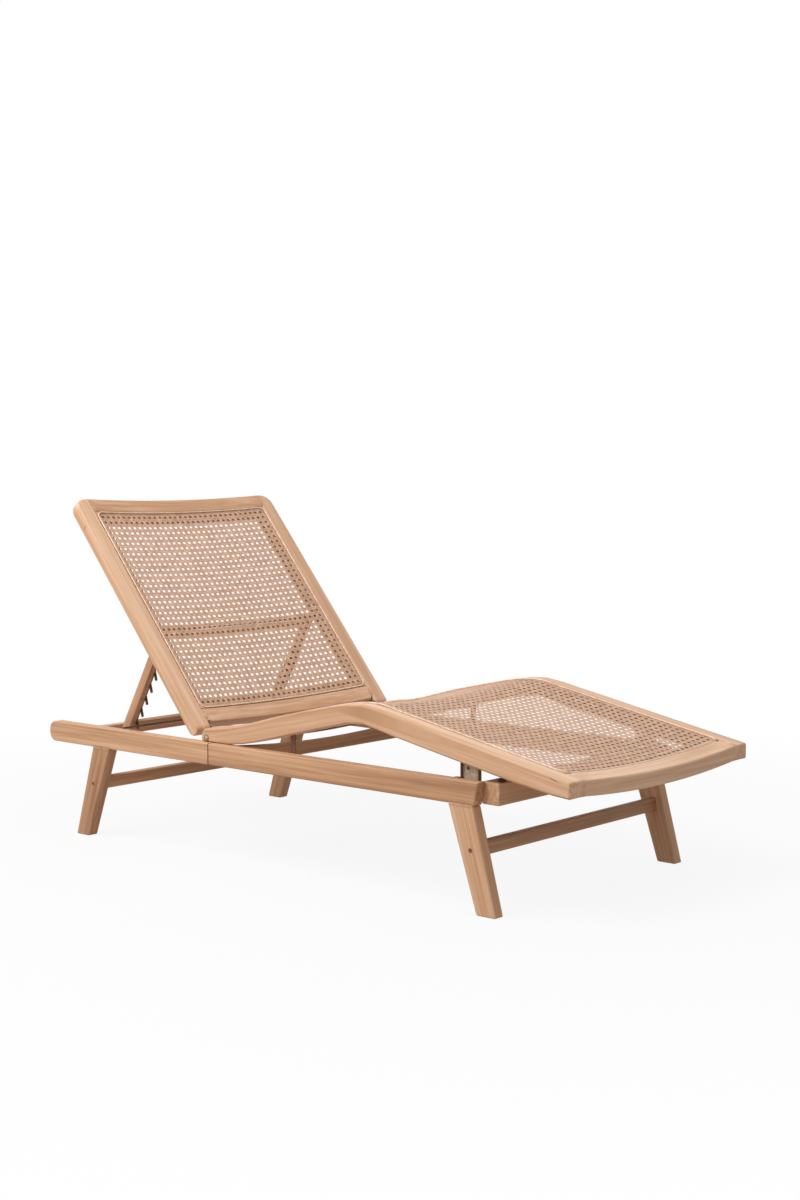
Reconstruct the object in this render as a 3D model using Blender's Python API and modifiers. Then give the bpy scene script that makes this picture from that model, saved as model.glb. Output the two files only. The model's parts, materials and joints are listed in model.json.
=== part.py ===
"""Wooden sun lounger with cane seat and back: a fixed knee-shaped seat on a four-legged base,
a backrest that hinges at the seat's rear end, and a prop frame with hooked steel racks behind it.
Metres, +Z up. The foot end points to -Y, the head end to +Y, the sitter's right is -X."""

import math

import bmesh
import bpy
from mathutils import Vector

# Clearance between pieces that touch
GAP = 0.0003

# Base frame
RAIL_LENGTH = 1.500
RAIL_HEIGHT = 0.055
RAIL_WIDTH = 0.030
RAIL_TOP = 0.300
BASE_WIDTH = 0.767
RAIL_SEAM = 0.870
RAIL_FRONT_RAKE = 0.011
RAIL_END_ROUND = 0.022
TENON_LENGTH = 0.080
TENON_HEIGHT = 0.026
TENON_THICKNESS = 0.010
EDGE_ROUND = 0.0035

# Legs, each given by its top and foot ends along the rail, from the rail's front end
LEG_WIDTH = 0.0315
FRONT_LEG_TOP = (0.0155, 0.0860)
FRONT_LEG_FOOT = (-0.0500, 0.0040)
REAR_LEG_TOP = (1.2515, 1.3185)
REAR_LEG_FOOT = (1.3410, 1.3900)
STRETCHER_HEIGHT = 0.034
STRETCHER_THICKNESS = 0.020
STRETCHER_LEVEL = 0.145
STRETCHER_TENON = 0.014
PLUG_RADIUS = 0.004
PLUG_DEPTH = 0.008

# Cross rails: start and end along the rail, bottom, top, and how far the top dips in the middle
FRONT_CROSS_RAIL = (-0.037, 0.013, 0.247, 0.2985, 0.0)
MID_CROSS_RAIL = (0.780, 0.806, 0.250, 0.2985, 0.018)
REAR_CROSS_RAIL = (1.446, 1.472, 0.241, 0.2725, 0.0)

# Seat, measured back from the seat's front tip
SEAT_OVERHANG = 0.240
SEAT_WIDTH = 0.737
STILE_WIDTH = 0.050
SEAT_LENGTH = 1.150
# Stations of the seat stile: place, top height over the rail, slope, depth
SEAT_STATIONS = (
    (0.000, 0.0257, 0.1935, 0.0385),
    (0.050, 0.0354, 0.1935, 0.0440),
    (0.188, 0.0620, 0.1935, 0.0480),
    (0.515, 0.1256, 0.1850, 0.0490),
    (0.605, 0.1400, 0.0000, 0.0450),
    (0.745, 0.1190, -0.2200, 0.0515),
    (0.891, 0.0850, -0.2550, 0.0545),
    (1.041, 0.0475, -0.1550, 0.0475),
    (1.150, 0.0325, -0.0900, 0.0320),
)
SEAT_LIFT = 0.0005
SEAT_STEP = 0.050
SEAT_END_ROUND = 0.020
SEAT_SCOOP = 0.016
SEAT_FRONT_RAIL = 0.048
SEAT_REAR_RAIL = 0.045
SEAT_REAR_RAIL_DEPTH = 0.022

# Backrest, in its own frame: along the stile from the hinge, and out of the front face
BACK_ANGLE = math.radians(50.5)
HINGE_AFTER_SEAT = 0.032
HINGE_OVER_RAIL = 0.026
BACK_LENGTH = 0.7415
BACK_THICKNESS = 0.033
BACK_TOP_RAIL = 0.045
BACK_BOTTOM_RAIL_START = 0.006
BACK_BOTTOM_RAIL_END = 0.0495
BACK_SCOOP = 0.014
BACK_CORNER_ROUND = 0.034

# Cane nets and their beads
NET_THICKNESS = 0.0025
NET_RECESS = 0.0025
NET_COLUMNS = 8
BACK_NET_ROWS = 9
SEAT_NET_ROWS = 13
NET_STRAND = 0.012
BEAD_RADIUS = 0.0015
BEAD_CORNER = 0.018
BEAD_STEP = 0.045
BEAD_LIFT = 0.0008

# Hinge straps, bolts and pins
STRAP_THICKNESS = 0.004
STRAP_HALF_WIDTH = 0.011
BOLT_BEFORE_HINGE = 0.052
BOLT_UNDER_HINGE = 0.0160
BOLT_RADIUS = 0.003
BOLT_HEAD_RADIUS = 0.0065
BOLT_HEAD_HEIGHT = 0.0028
NUT_HEIGHT = 0.0024
NUT_RADIUS = 0.0052
PIN_RADIUS = 0.004
PIN_REACH = 0.024
PIN_HEAD_RADIUS = 0.0065
PIN_HEAD_HEIGHT = 0.0025
NOTCH_PLAY = 0.0015

# Steel between the seat and the base
FRONT_BRACKET = (0.015, 0.074)
MID_STRAP = (0.585, 0.614)
BRACKET_THICKNESS = 0.0025
PLATE_FOOT = 0.008
BUMPER = (-0.034, -0.014)
BUMPER_WIDTH = 0.018
BUMPER_INWARD = 0.004

# Prop frame, in the backrest's frame and then along its own leg
PIVOT_UP_STILE = 0.316
PIVOT_BEHIND = 0.0105
DOWEL_RADIUS = 0.007
DOWEL_NECK_RADIUS = 0.0035
DOWEL_SOCKET = 0.012
PROP_RELATIVE = math.radians(-111.74)
PROP_LEG_OUTER = 0.287
PROP_LEG_WIDTH = 0.020
PROP_LEG_LENGTH = 0.309
PROP_FOOT_SLANT = 0.0136
PROP_LEG_REAR = 0.008
PROP_LEG_FRONT = 0.017
CROSSBAR_FROM_END = 0.005
CROSSBAR_HEIGHT = 0.016
CROSSBAR_DEPTH = 0.012
CROSSBAR_INSET = 0.002
HEAD_RAIL_START = 0.009
HEAD_RAIL_HEIGHT = 0.018
HEAD_RAIL_DEPTH = 0.012
RACK_THICKNESS = 0.004
RACK_FIRST = 0.127
RACK_PITCH = 0.0392
RACK_HOOKS = 5
RACK_SPINE = (0.0035, 0.0150)
HOOK_LENGTH = 0.0240
HOOK_WIDTH = 0.0066
HOOK_ANGLE = math.radians(43.3)
HOOK_ROOT = 0.0135
CATCH_ROD_RADIUS = 0.003
CATCH_ROD = (1.2651, 0.2936)
ROD_SOCKET = 0.012

# Worked out from the sizes above
RAIL_FRONT = -(RAIL_LENGTH + SEAT_OVERHANG) / 2 + SEAT_OVERHANG
RAIL_BOTTOM = RAIL_TOP - RAIL_HEIGHT
RAIL_OUTER = BASE_WIDTH / 2
RAIL_INNER = RAIL_OUTER - RAIL_WIDTH
SEAT_FRONT = RAIL_FRONT - SEAT_OVERHANG
STILE_OUTER = SEAT_WIDTH / 2
STILE_INNER = STILE_OUTER - STILE_WIDTH
HINGE = Vector((0.0, SEAT_FRONT + SEAT_LENGTH + HINGE_AFTER_SEAT, RAIL_TOP + HINGE_OVER_RAIL))
BOLT = Vector((0.0, HINGE.y - BOLT_BEFORE_HINGE, HINGE.z - BOLT_UNDER_HINGE))
ROD_PLACE = Vector((0.0, RAIL_FRONT + CATCH_ROD[0], CATCH_ROD[1]))

WOOD = ((0.60, 0.40, 0.24), 0.5, 0.0)
DARK_WOOD = ((0.30, 0.17, 0.09), 0.5, 0.0)
CANE = ((0.72, 0.52, 0.36), 0.6, 0.0)
STEEL = ((0.62, 0.60, 0.57), 0.3, 1.0)
DARK_STEEL = ((0.06, 0.04, 0.035), 0.45, 0.8)
RUBBER = ((0.03, 0.03, 0.03), 0.8, 0.0)

for old in list(bpy.data.objects):
    bpy.data.objects.remove(old, do_unlink=True)
parts = bpy.data.collections.new("wooden_lounger")
cutters = bpy.data.collections.new("cutters")
cutters.hide_render = True
bpy.context.scene.collection.children.link(parts)
bpy.context.scene.collection.children.link(cutters)


def side_name(side):
    return "right" if side < 0 else "left"


def finish_material(name, finish):
    colour, roughness, metallic = finish
    material = bpy.data.materials.new(name)
    material.use_nodes = True
    shader = material.node_tree.nodes["Principled BSDF"]
    shader.inputs["Base Color"].default_value = (*colour, 1.0)
    shader.inputs["Roughness"].default_value = roughness
    shader.inputs["Metallic"].default_value = metallic
    return material


def add_object(name, mesh, finish, parent=None):
    """Puts a mesh in the parts collection under its own material."""
    piece = bpy.data.objects.new(name, mesh)
    parts.objects.link(piece)
    piece.data.materials.append(finish_material(name, finish))
    piece.parent = parent
    return piece


def mesh_from(name, bm):
    bmesh.ops.recalc_face_normals(bm, faces=bm.faces)
    if bm.calc_volume(signed=True) < 0:
        bmesh.ops.reverse_faces(bm, faces=bm.faces)
    mesh = bpy.data.meshes.new(name)
    bm.to_mesh(mesh)
    bm.free()
    return mesh


def soften(piece, width, segments=2, angle=0.6):
    """Rounds the sharp edges of a piece."""
    bevel = piece.modifiers.new("rounded edges", "BEVEL")
    bevel.width = width
    bevel.segments = segments
    bevel.limit_method = "ANGLE"
    bevel.angle_limit = angle
    bevel.use_clamp_overlap = True
    return bevel


def extruded(outline, low, high, axis):
    """A closed outline pushed from low to high along X or Z; the outline's points are 3D at zero."""
    bm = bmesh.new()
    step = Vector((1, 0, 0)) if axis == "X" else Vector((0, 0, 1))
    face = bm.faces.new([bm.verts.new(Vector(point) + step * low) for point in outline])
    swept = bmesh.ops.extrude_face_region(bm, geom=[face])
    moved = [item for item in swept["geom"] if isinstance(item, bmesh.types.BMVert)]
    bmesh.ops.translate(bm, verts=moved, vec=step * (high - low))
    return bm


def side_board(name, outline, inner, outer, side, finish=WOOD, parent=None, rounding=EDGE_ROUND):
    """A board with a (Y, Z) outline and its thickness along X, on the side asked for."""
    points = [(0.0, y, z) for y, z in outline]
    bm = extruded(points, min(side * inner, side * outer), max(side * inner, side * outer), "X")
    piece = add_object(name, mesh_from(name, bm), finish, parent)
    if rounding:
        soften(piece, rounding)
    return piece


def block(name, low, high, finish=WOOD, parent=None, rounding=0.0015, cuts=0, bend=None):
    """A box from one corner to the other; cuts divide it along X and bend moves its points."""
    bm = bmesh.new()
    bmesh.ops.create_cube(bm, size=1.0)
    low, high = Vector(low), Vector(high)
    for vert in bm.verts:
        vert.co = Vector([low[i] + (high[i] - low[i]) * (vert.co[i] + 0.5) for i in range(3)])
    if cuts:
        along = [e for e in bm.edges if abs(e.verts[0].co.x - e.verts[1].co.x) > 1e-6]
        bmesh.ops.subdivide_edges(bm, edges=along, cuts=cuts, use_grid_fill=True)
    if bend:
        for vert in bm.verts:
            vert.co = bend(vert.co)
    piece = add_object(name, mesh_from(name, bm), finish, parent)
    if rounding:
        soften(piece, rounding)
    return piece


def turned(name, profile, start, finish, parent=None, steps=20, side=1):
    """A piece turned about the X axis: profile points are (distance along X, radius)."""
    bm = bmesh.new()
    verts = [bm.verts.new((0.0, radius, along)) for along, radius in profile]
    for first, second in zip(verts, verts[1:]):
        bm.edges.new((first, second))
    bmesh.ops.spin(bm, geom=bm.verts[:] + bm.edges[:], cent=(0, 0, 0), axis=(0, 0, 1),
                   angle=math.tau, steps=steps, use_duplicate=False)
    bmesh.ops.remove_doubles(bm, verts=bm.verts, dist=1e-6)
    for vert in bm.verts:
        vert.co = Vector((side * (start + vert.co.z), vert.co.x, vert.co.y))
    return add_object(name, mesh_from(name, bm), finish, parent)


def rod_profile(length, radius, chamfer=0.0006):
    return ((0, 0), (0, radius - chamfer), (chamfer, radius),
            (length - chamfer, radius), (length, radius - chamfer), (length, 0))


def moved(piece, place):
    """Moves a piece's own points, so that its origin stays where its parent is."""
    for vert in piece.data.vertices:
        vert.co = vert.co + Vector(place)
    return piece


def cut(piece, cutter):
    """Takes the cutter's volume out of a piece, after its edges are rounded."""
    for collection in list(cutter.users_collection):
        collection.objects.unlink(cutter)
    cutters.objects.link(cutter)
    cutter.hide_render = True
    cutter.display_type = "WIRE"
    boolean = piece.modifiers.new("cut " + cutter.name, "BOOLEAN")
    boolean.operation = "DIFFERENCE"
    boolean.object = cutter


def bore(piece, name, place, radius, start, end, side, parent=None):
    """A round hole along X."""
    cutter = turned(name, ((0, 0), (0, radius), (end - start, radius), (end - start, 0)),
                    start, STEEL, parent, steps=16, side=side)
    cut(piece, moved(cutter, place))


def arc(centre, radius, start, end, count):
    """Points of an arc in degrees, about a centre."""
    points = []
    for index in range(count + 1):
        angle = math.radians(start + (end - start) * index / count)
        points.append((centre[0] + radius * math.cos(angle), centre[1] + radius * math.sin(angle)))
    return points


def smooth(stations, place, value, slope=None):
    """Reads a smooth line through stations at a place, flat at each station unless slopes are given."""
    places = [station[0] for station in stations]
    place = min(max(place, places[0]), places[-1])
    index = max(i for i in range(len(places) - 1) if places[i] <= place)
    first, second = stations[index], stations[index + 1]
    span = second[0] - first[0]
    t = (place - first[0]) / span
    if slope is None:
        return first[value] + (second[value] - first[value]) * (3 * t * t - 2 * t ** 3)
    return (first[value] * (2 * t ** 3 - 3 * t * t + 1) + second[value] * (3 * t * t - 2 * t ** 3)
            + span * first[slope] * (t ** 3 - 2 * t * t + t) + span * second[slope] * (t ** 3 - t * t))


def seat_top(y):
    return RAIL_TOP + smooth(SEAT_STATIONS, y - SEAT_FRONT, 1, 2)


def seat_bottom(y):
    """The stile's underside: flat on the rail at its rear end, and a depth under the top elsewhere."""
    under = seat_top(y) - smooth(SEAT_STATIONS, y - SEAT_FRONT, 3)
    return max(under, RAIL_TOP + SEAT_LIFT) if y > RAIL_FRONT + MID_STRAP[0] else under


def across(x, half=None):
    """How much of the scoop is reached at x: none at the stiles and all of it in the middle."""
    return 1.0 - min(abs(x) / (half or STILE_INNER), 1.0) ** 2


def make_base():
    for side in (-1, 1):
        make_rail(side)
        make_legs(side)
    make_stretcher("stretcher_front", FRONT_LEG_TOP, FRONT_LEG_FOOT)
    make_stretcher("stretcher_rear", REAR_LEG_TOP, REAR_LEG_FOOT)
    inner = RAIL_INNER - GAP
    for name, sizes in (("cross_rail_front", FRONT_CROSS_RAIL), ("cross_rail_mid", MID_CROSS_RAIL),
                        ("cross_rail_rear", REAR_CROSS_RAIL)):
        start, end, bottom, top, dip = sizes

        def scooped(co, top=top, dip=dip):
            lowered = dip * across(co.x, RAIL_INNER) if co.z > top - 1e-6 else 0.0
            return Vector((co.x, co.y, co.z - lowered))

        block(name, (-inner, RAIL_FRONT + start, bottom), (inner, RAIL_FRONT + end, top), WOOD,
              rounding=EDGE_ROUND, cuts=9 if dip else 0, bend=scooped)
    rod = turned("catch_rod", rod_profile(2 * (RAIL_INNER + ROD_SOCKET - GAP), CATCH_ROD_RADIUS),
                 -(RAIL_INNER + ROD_SOCKET - GAP), DARK_STEEL)
    moved(rod, ROD_PLACE)


def make_rail(side):
    """Each side rail is two lengths butted end to end over a loose tenon."""
    seam = RAIL_FRONT + RAIL_SEAM
    rear = RAIL_FRONT + RAIL_LENGTH
    front_outline = [(RAIL_FRONT + RAIL_FRONT_RAKE, RAIL_BOTTOM), (seam - GAP / 2, RAIL_BOTTOM),
                     (seam - GAP / 2, RAIL_TOP), (RAIL_FRONT, RAIL_TOP)]
    r = RAIL_END_ROUND
    rear_outline = [(seam + GAP / 2, RAIL_BOTTOM)]
    rear_outline += arc((rear - r, RAIL_BOTTOM + r), r, -90, 0, 4)
    rear_outline += arc((rear - r, RAIL_TOP - r), r, 0, 90, 4)
    rear_outline += [(seam + GAP / 2, RAIL_TOP)]
    hand = side_name(side)
    front = side_board("side_rail_front_" + hand, front_outline, RAIL_INNER, RAIL_OUTER, side)
    back = side_board("side_rail_rear_" + hand, rear_outline, RAIL_INNER, RAIL_OUTER, side)
    middle = (RAIL_INNER + RAIL_OUTER) / 2
    level = (RAIL_TOP + RAIL_BOTTOM) / 2

    def tenon(name, gap):
        centre = Vector((side * middle, seam, level))
        size = Vector((TENON_THICKNESS, TENON_LENGTH, TENON_HEIGHT)) / 2 + Vector((gap, gap, gap))
        return block(name, centre - size, centre + size, rounding=0)

    tenon("rail_tenon_" + hand, 0)
    cut(front, tenon("front mortise " + hand, GAP))
    cut(back, tenon("rear mortise " + hand, GAP))
    bore(back, "rod socket " + hand, ROD_PLACE, CATCH_ROD_RADIUS + GAP,
         RAIL_INNER - 0.002, RAIL_INNER + ROD_SOCKET, side)


def leg_outline(top, foot):
    up = RAIL_BOTTOM - GAP
    return [(RAIL_FRONT + foot[0], 0.0), (RAIL_FRONT + foot[1], 0.0),
            (RAIL_FRONT + top[1], up), (RAIL_FRONT + top[0], up)]


def leg_centre(top, foot, level):
    """The middle of the leg at a height."""
    share = level / (RAIL_BOTTOM - GAP)
    return RAIL_FRONT + (foot[0] + foot[1]) / 2 * (1 - share) + (top[0] + top[1]) / 2 * share


def make_legs(side):
    hand = side_name(side)
    for end, top, foot in (("front", FRONT_LEG_TOP, FRONT_LEG_FOOT), ("rear", REAR_LEG_TOP, REAR_LEG_FOOT)):
        leg = side_board("leg_%s_%s" % (end, hand), leg_outline(top, foot),
                         RAIL_OUTER - LEG_WIDTH, RAIL_OUTER, side)
        place = Vector((0.0, leg_centre(top, foot, STRETCHER_LEVEL), STRETCHER_LEVEL))
        inner = RAIL_OUTER - LEG_WIDTH
        size = Vector((0, STRETCHER_THICKNESS / 2 + GAP, STRETCHER_HEIGHT / 2 + GAP))
        xs = sorted((side * (inner - 0.005), side * (inner + STRETCHER_TENON + GAP)))
        low, high = place - size, place + size
        cut(leg, block("%s stretcher mortise %s" % (end, hand), (xs[0], low.y, low.z),
                       (xs[1], high.y, high.z), rounding=0))
        bore(leg, "%s plug hole %s" % (end, hand), place, PLUG_RADIUS + GAP, RAIL_OUTER - PLUG_DEPTH - GAP,
             RAIL_OUTER + 0.002, side)
        plug = turned("plug_%s_%s" % (end, hand), rod_profile(PLUG_DEPTH, PLUG_RADIUS, 0.0005),
                      RAIL_OUTER - PLUG_DEPTH, WOOD, steps=12, side=side)
        moved(plug, place)


def make_stretcher(name, top, foot):
    reach = RAIL_OUTER - LEG_WIDTH + STRETCHER_TENON
    y = leg_centre(top, foot, STRETCHER_LEVEL)
    block(name, (-reach, y - STRETCHER_THICKNESS / 2, STRETCHER_LEVEL - STRETCHER_HEIGHT / 2),
          (reach, y + STRETCHER_THICKNESS / 2, STRETCHER_LEVEL + STRETCHER_HEIGHT / 2), WOOD, rounding=0.004)


def make_seat():
    rear = SEAT_FRONT + SEAT_LENGTH
    count = round(SEAT_LENGTH / SEAT_STEP)
    places = [SEAT_FRONT + SEAT_LENGTH * i / count for i in range(count + 1)]
    r = SEAT_END_ROUND
    for side in (-1, 1):
        hand = side_name(side)
        top = [(y, seat_top(y)) for y in places if y < rear - r - 0.01]
        end = arc((rear - r, seat_top(rear - r) - r), r, 80, 0, 5)
        under = [(rear, RAIL_TOP + SEAT_LIFT)] + [(y, seat_bottom(y)) for y in reversed(places[:-1])]
        stile = side_board("seat_stile_" + hand, (top + end + under)[::-1], STILE_INNER, STILE_OUTER, side,
                           rounding=0.005)
        bore(stile, "seat bolt hole " + hand, BOLT, BOLT_RADIUS + GAP, STILE_INNER - 0.002,
             STILE_OUTER + 0.002, side)
        make_hinge_steel(side)
        make_seat_steel(side)
    inner = STILE_INNER - GAP

    def follow(thickness):
        def bend(co):
            top = seat_top(co.y) - SEAT_SCOOP * across(co.x)
            return Vector((co.x, co.y, top if co.z > 0.5 else top - thickness))
        return bend

    front_depth = SEAT_STATIONS[0][3]
    block("seat_front_rail", (-inner, SEAT_FRONT, 0.0), (inner, SEAT_FRONT + SEAT_FRONT_RAIL, 1.0),
          rounding=0.006, cuts=11, bend=follow(front_depth))
    rear_rail = block("seat_rear_rail", (-inner, rear - SEAT_REAR_RAIL, 0.0), (inner, rear - 0.004, 1.0),
                      rounding=0.003, cuts=11, bend=follow(SEAT_REAR_RAIL_DEPTH))
    for side in (-1, 1):
        xs = sorted((side * (STILE_INNER - STRAP_THICKNESS - NUT_HEIGHT - 2 * NOTCH_PLAY),
                     side * (STILE_INNER + NOTCH_PLAY)))
        notch = block("seat strap notch " + side_name(side),
                      (xs[0], BOLT.y - STRAP_HALF_WIDTH - NOTCH_PLAY, RAIL_TOP - SEAT_REAR_RAIL_DEPTH),
                      (xs[1], rear + NOTCH_PLAY, HINGE.z + STRAP_HALF_WIDTH + NOTCH_PLAY), rounding=0)
        cut(rear_rail, notch)

    def seat_point(x, along):
        y = SEAT_FRONT + SEAT_FRONT_RAIL + GAP + along
        slope = (seat_top(y + 0.001) - seat_top(y - 0.001)) / 0.002
        normal = Vector((0, -slope, 1)).normalized()
        return Vector((x, y, seat_top(y) - SEAT_SCOOP * across(x))), normal

    net_length = SEAT_LENGTH - SEAT_FRONT_RAIL - SEAT_REAR_RAIL - 2 * GAP
    make_net("seat_net", seat_point, net_length, SEAT_NET_ROWS)
    make_bead("seat_bead", seat_point, net_length)


def make_net(name, surface, length, rows, parent=None):
    """A flat grid whose faces are inset and opened, laid on a surface and thickened: the cane panel."""
    half = STILE_INNER - GAP
    bm = bmesh.new()
    bmesh.ops.create_grid(bm, x_segments=NET_COLUMNS, y_segments=rows, size=0.5)
    for vert in bm.verts:
        vert.co = Vector((vert.co.x * 2 * half, (vert.co.y + 0.5) * length, 0.0))
    inset = bmesh.ops.inset_individual(bm, faces=bm.faces[:], thickness=NET_STRAND / 2, depth=0)
    inner = [face for face in bm.faces if face not in set(inset["faces"])]
    bmesh.ops.delete(bm, geom=inner, context="FACES")
    for vert in bm.verts:
        point, normal = surface(vert.co.x, vert.co.y)
        vert.co = point - normal * NET_RECESS
    net = add_object(name, mesh_from(name, bm), CANE, parent)
    if net.data.polygons[0].normal.z < 0:
        net.data.flip_normals()
    thick = net.modifiers.new("cane thickness", "SOLIDIFY")
    thick.thickness = NET_THICKNESS
    thick.offset = -1.0
    return net


def make_bead(name, surface, length, parent=None):
    """The spline that holds the cane: a thin round bead along the edge of the opening."""
    half = STILE_INNER - GAP - BEAD_RADIUS
    inset = BEAD_RADIUS
    r = BEAD_CORNER
    corners = ((half - r, inset + r, -90), (half - r, length - inset - r, 0),
               (-half + r, length - inset - r, 90), (-half + r, inset + r, 180))
    path = []
    for index, (x, along, start) in enumerate(corners):
        turn = arc((x, along), r, start, start + 90, 3)
        follow = corners[(index + 1) % 4]
        reach = arc((follow[0], follow[1]), r, follow[2], follow[2], 1)[0]
        path += turn
        run = math.dist(turn[-1], reach)
        steps = max(1, round(run / BEAD_STEP))
        path += [(turn[-1][0] + (reach[0] - turn[-1][0]) * k / steps,
                  turn[-1][1] + (reach[1] - turn[-1][1]) * k / steps) for k in range(1, steps)]
    curve = bpy.data.curves.new(name, "CURVE")
    curve.dimensions = "3D"
    curve.bevel_depth = BEAD_RADIUS
    curve.bevel_resolution = 0
    curve.use_fill_caps = True
    spline = curve.splines.new("POLY")
    spline.points.add(len(path) - 1)
    for point, (x, along) in zip(spline.points, path):
        place, normal = surface(x, along)
        point.co = (*(place - normal * (NET_RECESS - BEAD_RADIUS - BEAD_LIFT)), 1.0)
    spline.use_cyclic_u = True
    bead = bpy.data.objects.new(name, curve)
    parts.objects.link(bead)
    curve.materials.append(finish_material(name, CANE))
    bead.parent = parent
    return bead


def make_hinge_steel(side):
    """A flat strap on the inner faces: bolted to the seat stile, with the backrest turning on its pin."""
    hand = side_name(side)
    outer = STILE_INNER - GAP
    inner = outer - STRAP_THICKNESS
    along = Vector((HINGE.y - BOLT.y, HINGE.z - BOLT.z))
    angle = math.degrees(math.atan2(along.y, along.x))
    outline = arc((HINGE.y, HINGE.z), STRAP_HALF_WIDTH, angle - 90, angle + 90, 10)
    outline += arc((BOLT.y, BOLT.z), STRAP_HALF_WIDTH, angle + 90, angle + 270, 10)
    strap = side_board("hinge_strap_" + hand, outline, inner, outer, side, STEEL, rounding=0)
    bore(strap, "strap bolt hole " + hand, BOLT, BOLT_RADIUS + GAP, inner - 0.001, outer + 0.001, side)
    bore(strap, "strap pin hole " + hand, HINGE, PIN_RADIUS + GAP, inner - 0.001, outer + 0.001, side)
    start = inner - GAP - NUT_HEIGHT
    head = STILE_OUTER + GAP - start
    profile = [(0, 0), (0, NUT_RADIUS), (NUT_HEIGHT, NUT_RADIUS), (NUT_HEIGHT, BOLT_RADIUS),
               (head, BOLT_RADIUS), (head, BOLT_HEAD_RADIUS)]
    for index in range(1, 5):
        angle_up = math.radians(90 * index / 5)
        profile.append((head + BOLT_HEAD_HEIGHT * math.sin(angle_up), BOLT_HEAD_RADIUS * math.cos(angle_up)))
    profile.append((head + BOLT_HEAD_HEIGHT, 0))
    moved(turned("hinge_bolt_" + hand, profile, start, STEEL, steps=16, side=side), BOLT)


def make_seat_steel(side):
    """Plates that stand on the base and carry the seat, and the rubber pad at the front cross rail."""
    hand = side_name(side)
    inner = RAIL_INNER - GAP - BRACKET_THICKNESS
    foot = RAIL_BOTTOM + PLATE_FOOT
    for name, (start, end) in (("seat_bracket_", FRONT_BRACKET), ("seat_strap_", MID_STRAP)):
        y0, y1 = RAIL_FRONT + start, RAIL_FRONT + end
        outline = [(y0, foot), (y1, foot), (y1, seat_bottom(y1) - GAP), (y0, seat_bottom(y0) - GAP)]
        side_board(name + hand, outline, inner, inner + BRACKET_THICKNESS, side, STEEL, rounding=0)
    y0, y1 = RAIL_FRONT + BUMPER[0], RAIL_FRONT + BUMPER[1]
    outline = [(y0, FRONT_CROSS_RAIL[3] + GAP), (y1, FRONT_CROSS_RAIL[3] + GAP),
               (y1, seat_bottom(y1) - GAP), (y0, seat_bottom(y0) - GAP)]
    middle = (STILE_INNER + STILE_OUTER) / 2 - BUMPER_INWARD
    side_board("bumper_" + hand, outline, middle - BUMPER_WIDTH / 2, middle + BUMPER_WIDTH / 2, side,
               RUBBER, rounding=0.001)


def make_backrest():
    hinge = bpy.data.objects.new("backrest_hinge_axis", None)
    parts.objects.link(hinge)
    hinge.location = HINGE
    hinge.rotation_euler = (BACK_ANGLE, 0, 0)
    half = BACK_THICKNESS / 2
    for side in (-1, 1):
        hand = side_name(side)
        outline = arc((0, 0), half, 90, 270, 8) + [(BACK_LENGTH, -half), (BACK_LENGTH, half)]
        points = [(0.0, y, z) for y, z in outline]
        bm = extruded(points, min(side * STILE_INNER, side * STILE_OUTER),
                      max(side * STILE_INNER, side * STILE_OUTER), "X")
        corner = [edge for edge in bm.edges
                  if all(abs(v.co.x - side * STILE_OUTER) < 1e-5 and abs(v.co.y - BACK_LENGTH) < 1e-5
                         for v in edge.verts)]
        bmesh.ops.bevel(bm, geom=corner, offset=BACK_CORNER_ROUND, segments=5, profile=0.5, affect="EDGES")
        stile = add_object("back_stile_" + hand, mesh_from("back_stile_" + hand, bm), WOOD, hinge)
        soften(stile, 0.005)
        pin_start = STILE_INNER - STRAP_THICKNESS - PIN_HEAD_HEIGHT - 2 * GAP
        bore(stile, "pin hole " + hand, (0, 0, 0), PIN_RADIUS + GAP, STILE_INNER - 0.002,
             STILE_INNER + PIN_REACH, side, hinge)
        bore(stile, "dowel hole " + hand, (0, PIVOT_UP_STILE, -PIVOT_BEHIND), DOWEL_NECK_RADIUS + GAP,
             STILE_INNER - 0.002, STILE_INNER + DOWEL_SOCKET, side, hinge)
        reach = STILE_INNER + PIN_REACH - GAP - pin_start
        pin = ((0, 0), (0, PIN_HEAD_RADIUS), (PIN_HEAD_HEIGHT, PIN_HEAD_RADIUS),
               (PIN_HEAD_HEIGHT, PIN_RADIUS), (reach, PIN_RADIUS), (reach, 0))
        turned("hinge_pin_" + hand, pin, pin_start, STEEL, hinge, steps=16, side=side)
    inner = STILE_INNER - GAP

    def scooped(co):
        return Vector((co.x, co.y, co.z - BACK_SCOOP * across(co.x)))

    block("back_top_rail", (-inner, BACK_LENGTH - BACK_TOP_RAIL, -half), (inner, BACK_LENGTH, half),
          parent=hinge, rounding=0.005, cuts=11, bend=scooped)
    bottom = block("back_bottom_rail", (-inner, BACK_BOTTOM_RAIL_START, -half),
                   (inner, BACK_BOTTOM_RAIL_END, half), parent=hinge, rounding=0.004, cuts=11, bend=scooped)
    for side in (-1, 1):
        xs = sorted((side * (STILE_INNER - STRAP_THICKNESS - PIN_HEAD_HEIGHT - NOTCH_PLAY),
                     side * (STILE_INNER + NOTCH_PLAY)))
        notch = block("back strap notch " + side_name(side), (xs[0], -STRAP_HALF_WIDTH, -BACK_THICKNESS),
                      (xs[1], STRAP_HALF_WIDTH + NOTCH_PLAY, BACK_THICKNESS), parent=hinge, rounding=0)
        cut(bottom, notch)

    def back_point(x, along):
        place = Vector((x, BACK_BOTTOM_RAIL_END + GAP + along, half - BACK_SCOOP * across(x)))
        return place, Vector((0, 0, 1))

    net_length = BACK_LENGTH - BACK_TOP_RAIL - BACK_BOTTOM_RAIL_END - 2 * GAP
    make_net("back_net", back_point, net_length, BACK_NET_ROWS, hinge)
    make_bead("back_bead", back_point, net_length, hinge)
    make_prop(hinge)


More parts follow.
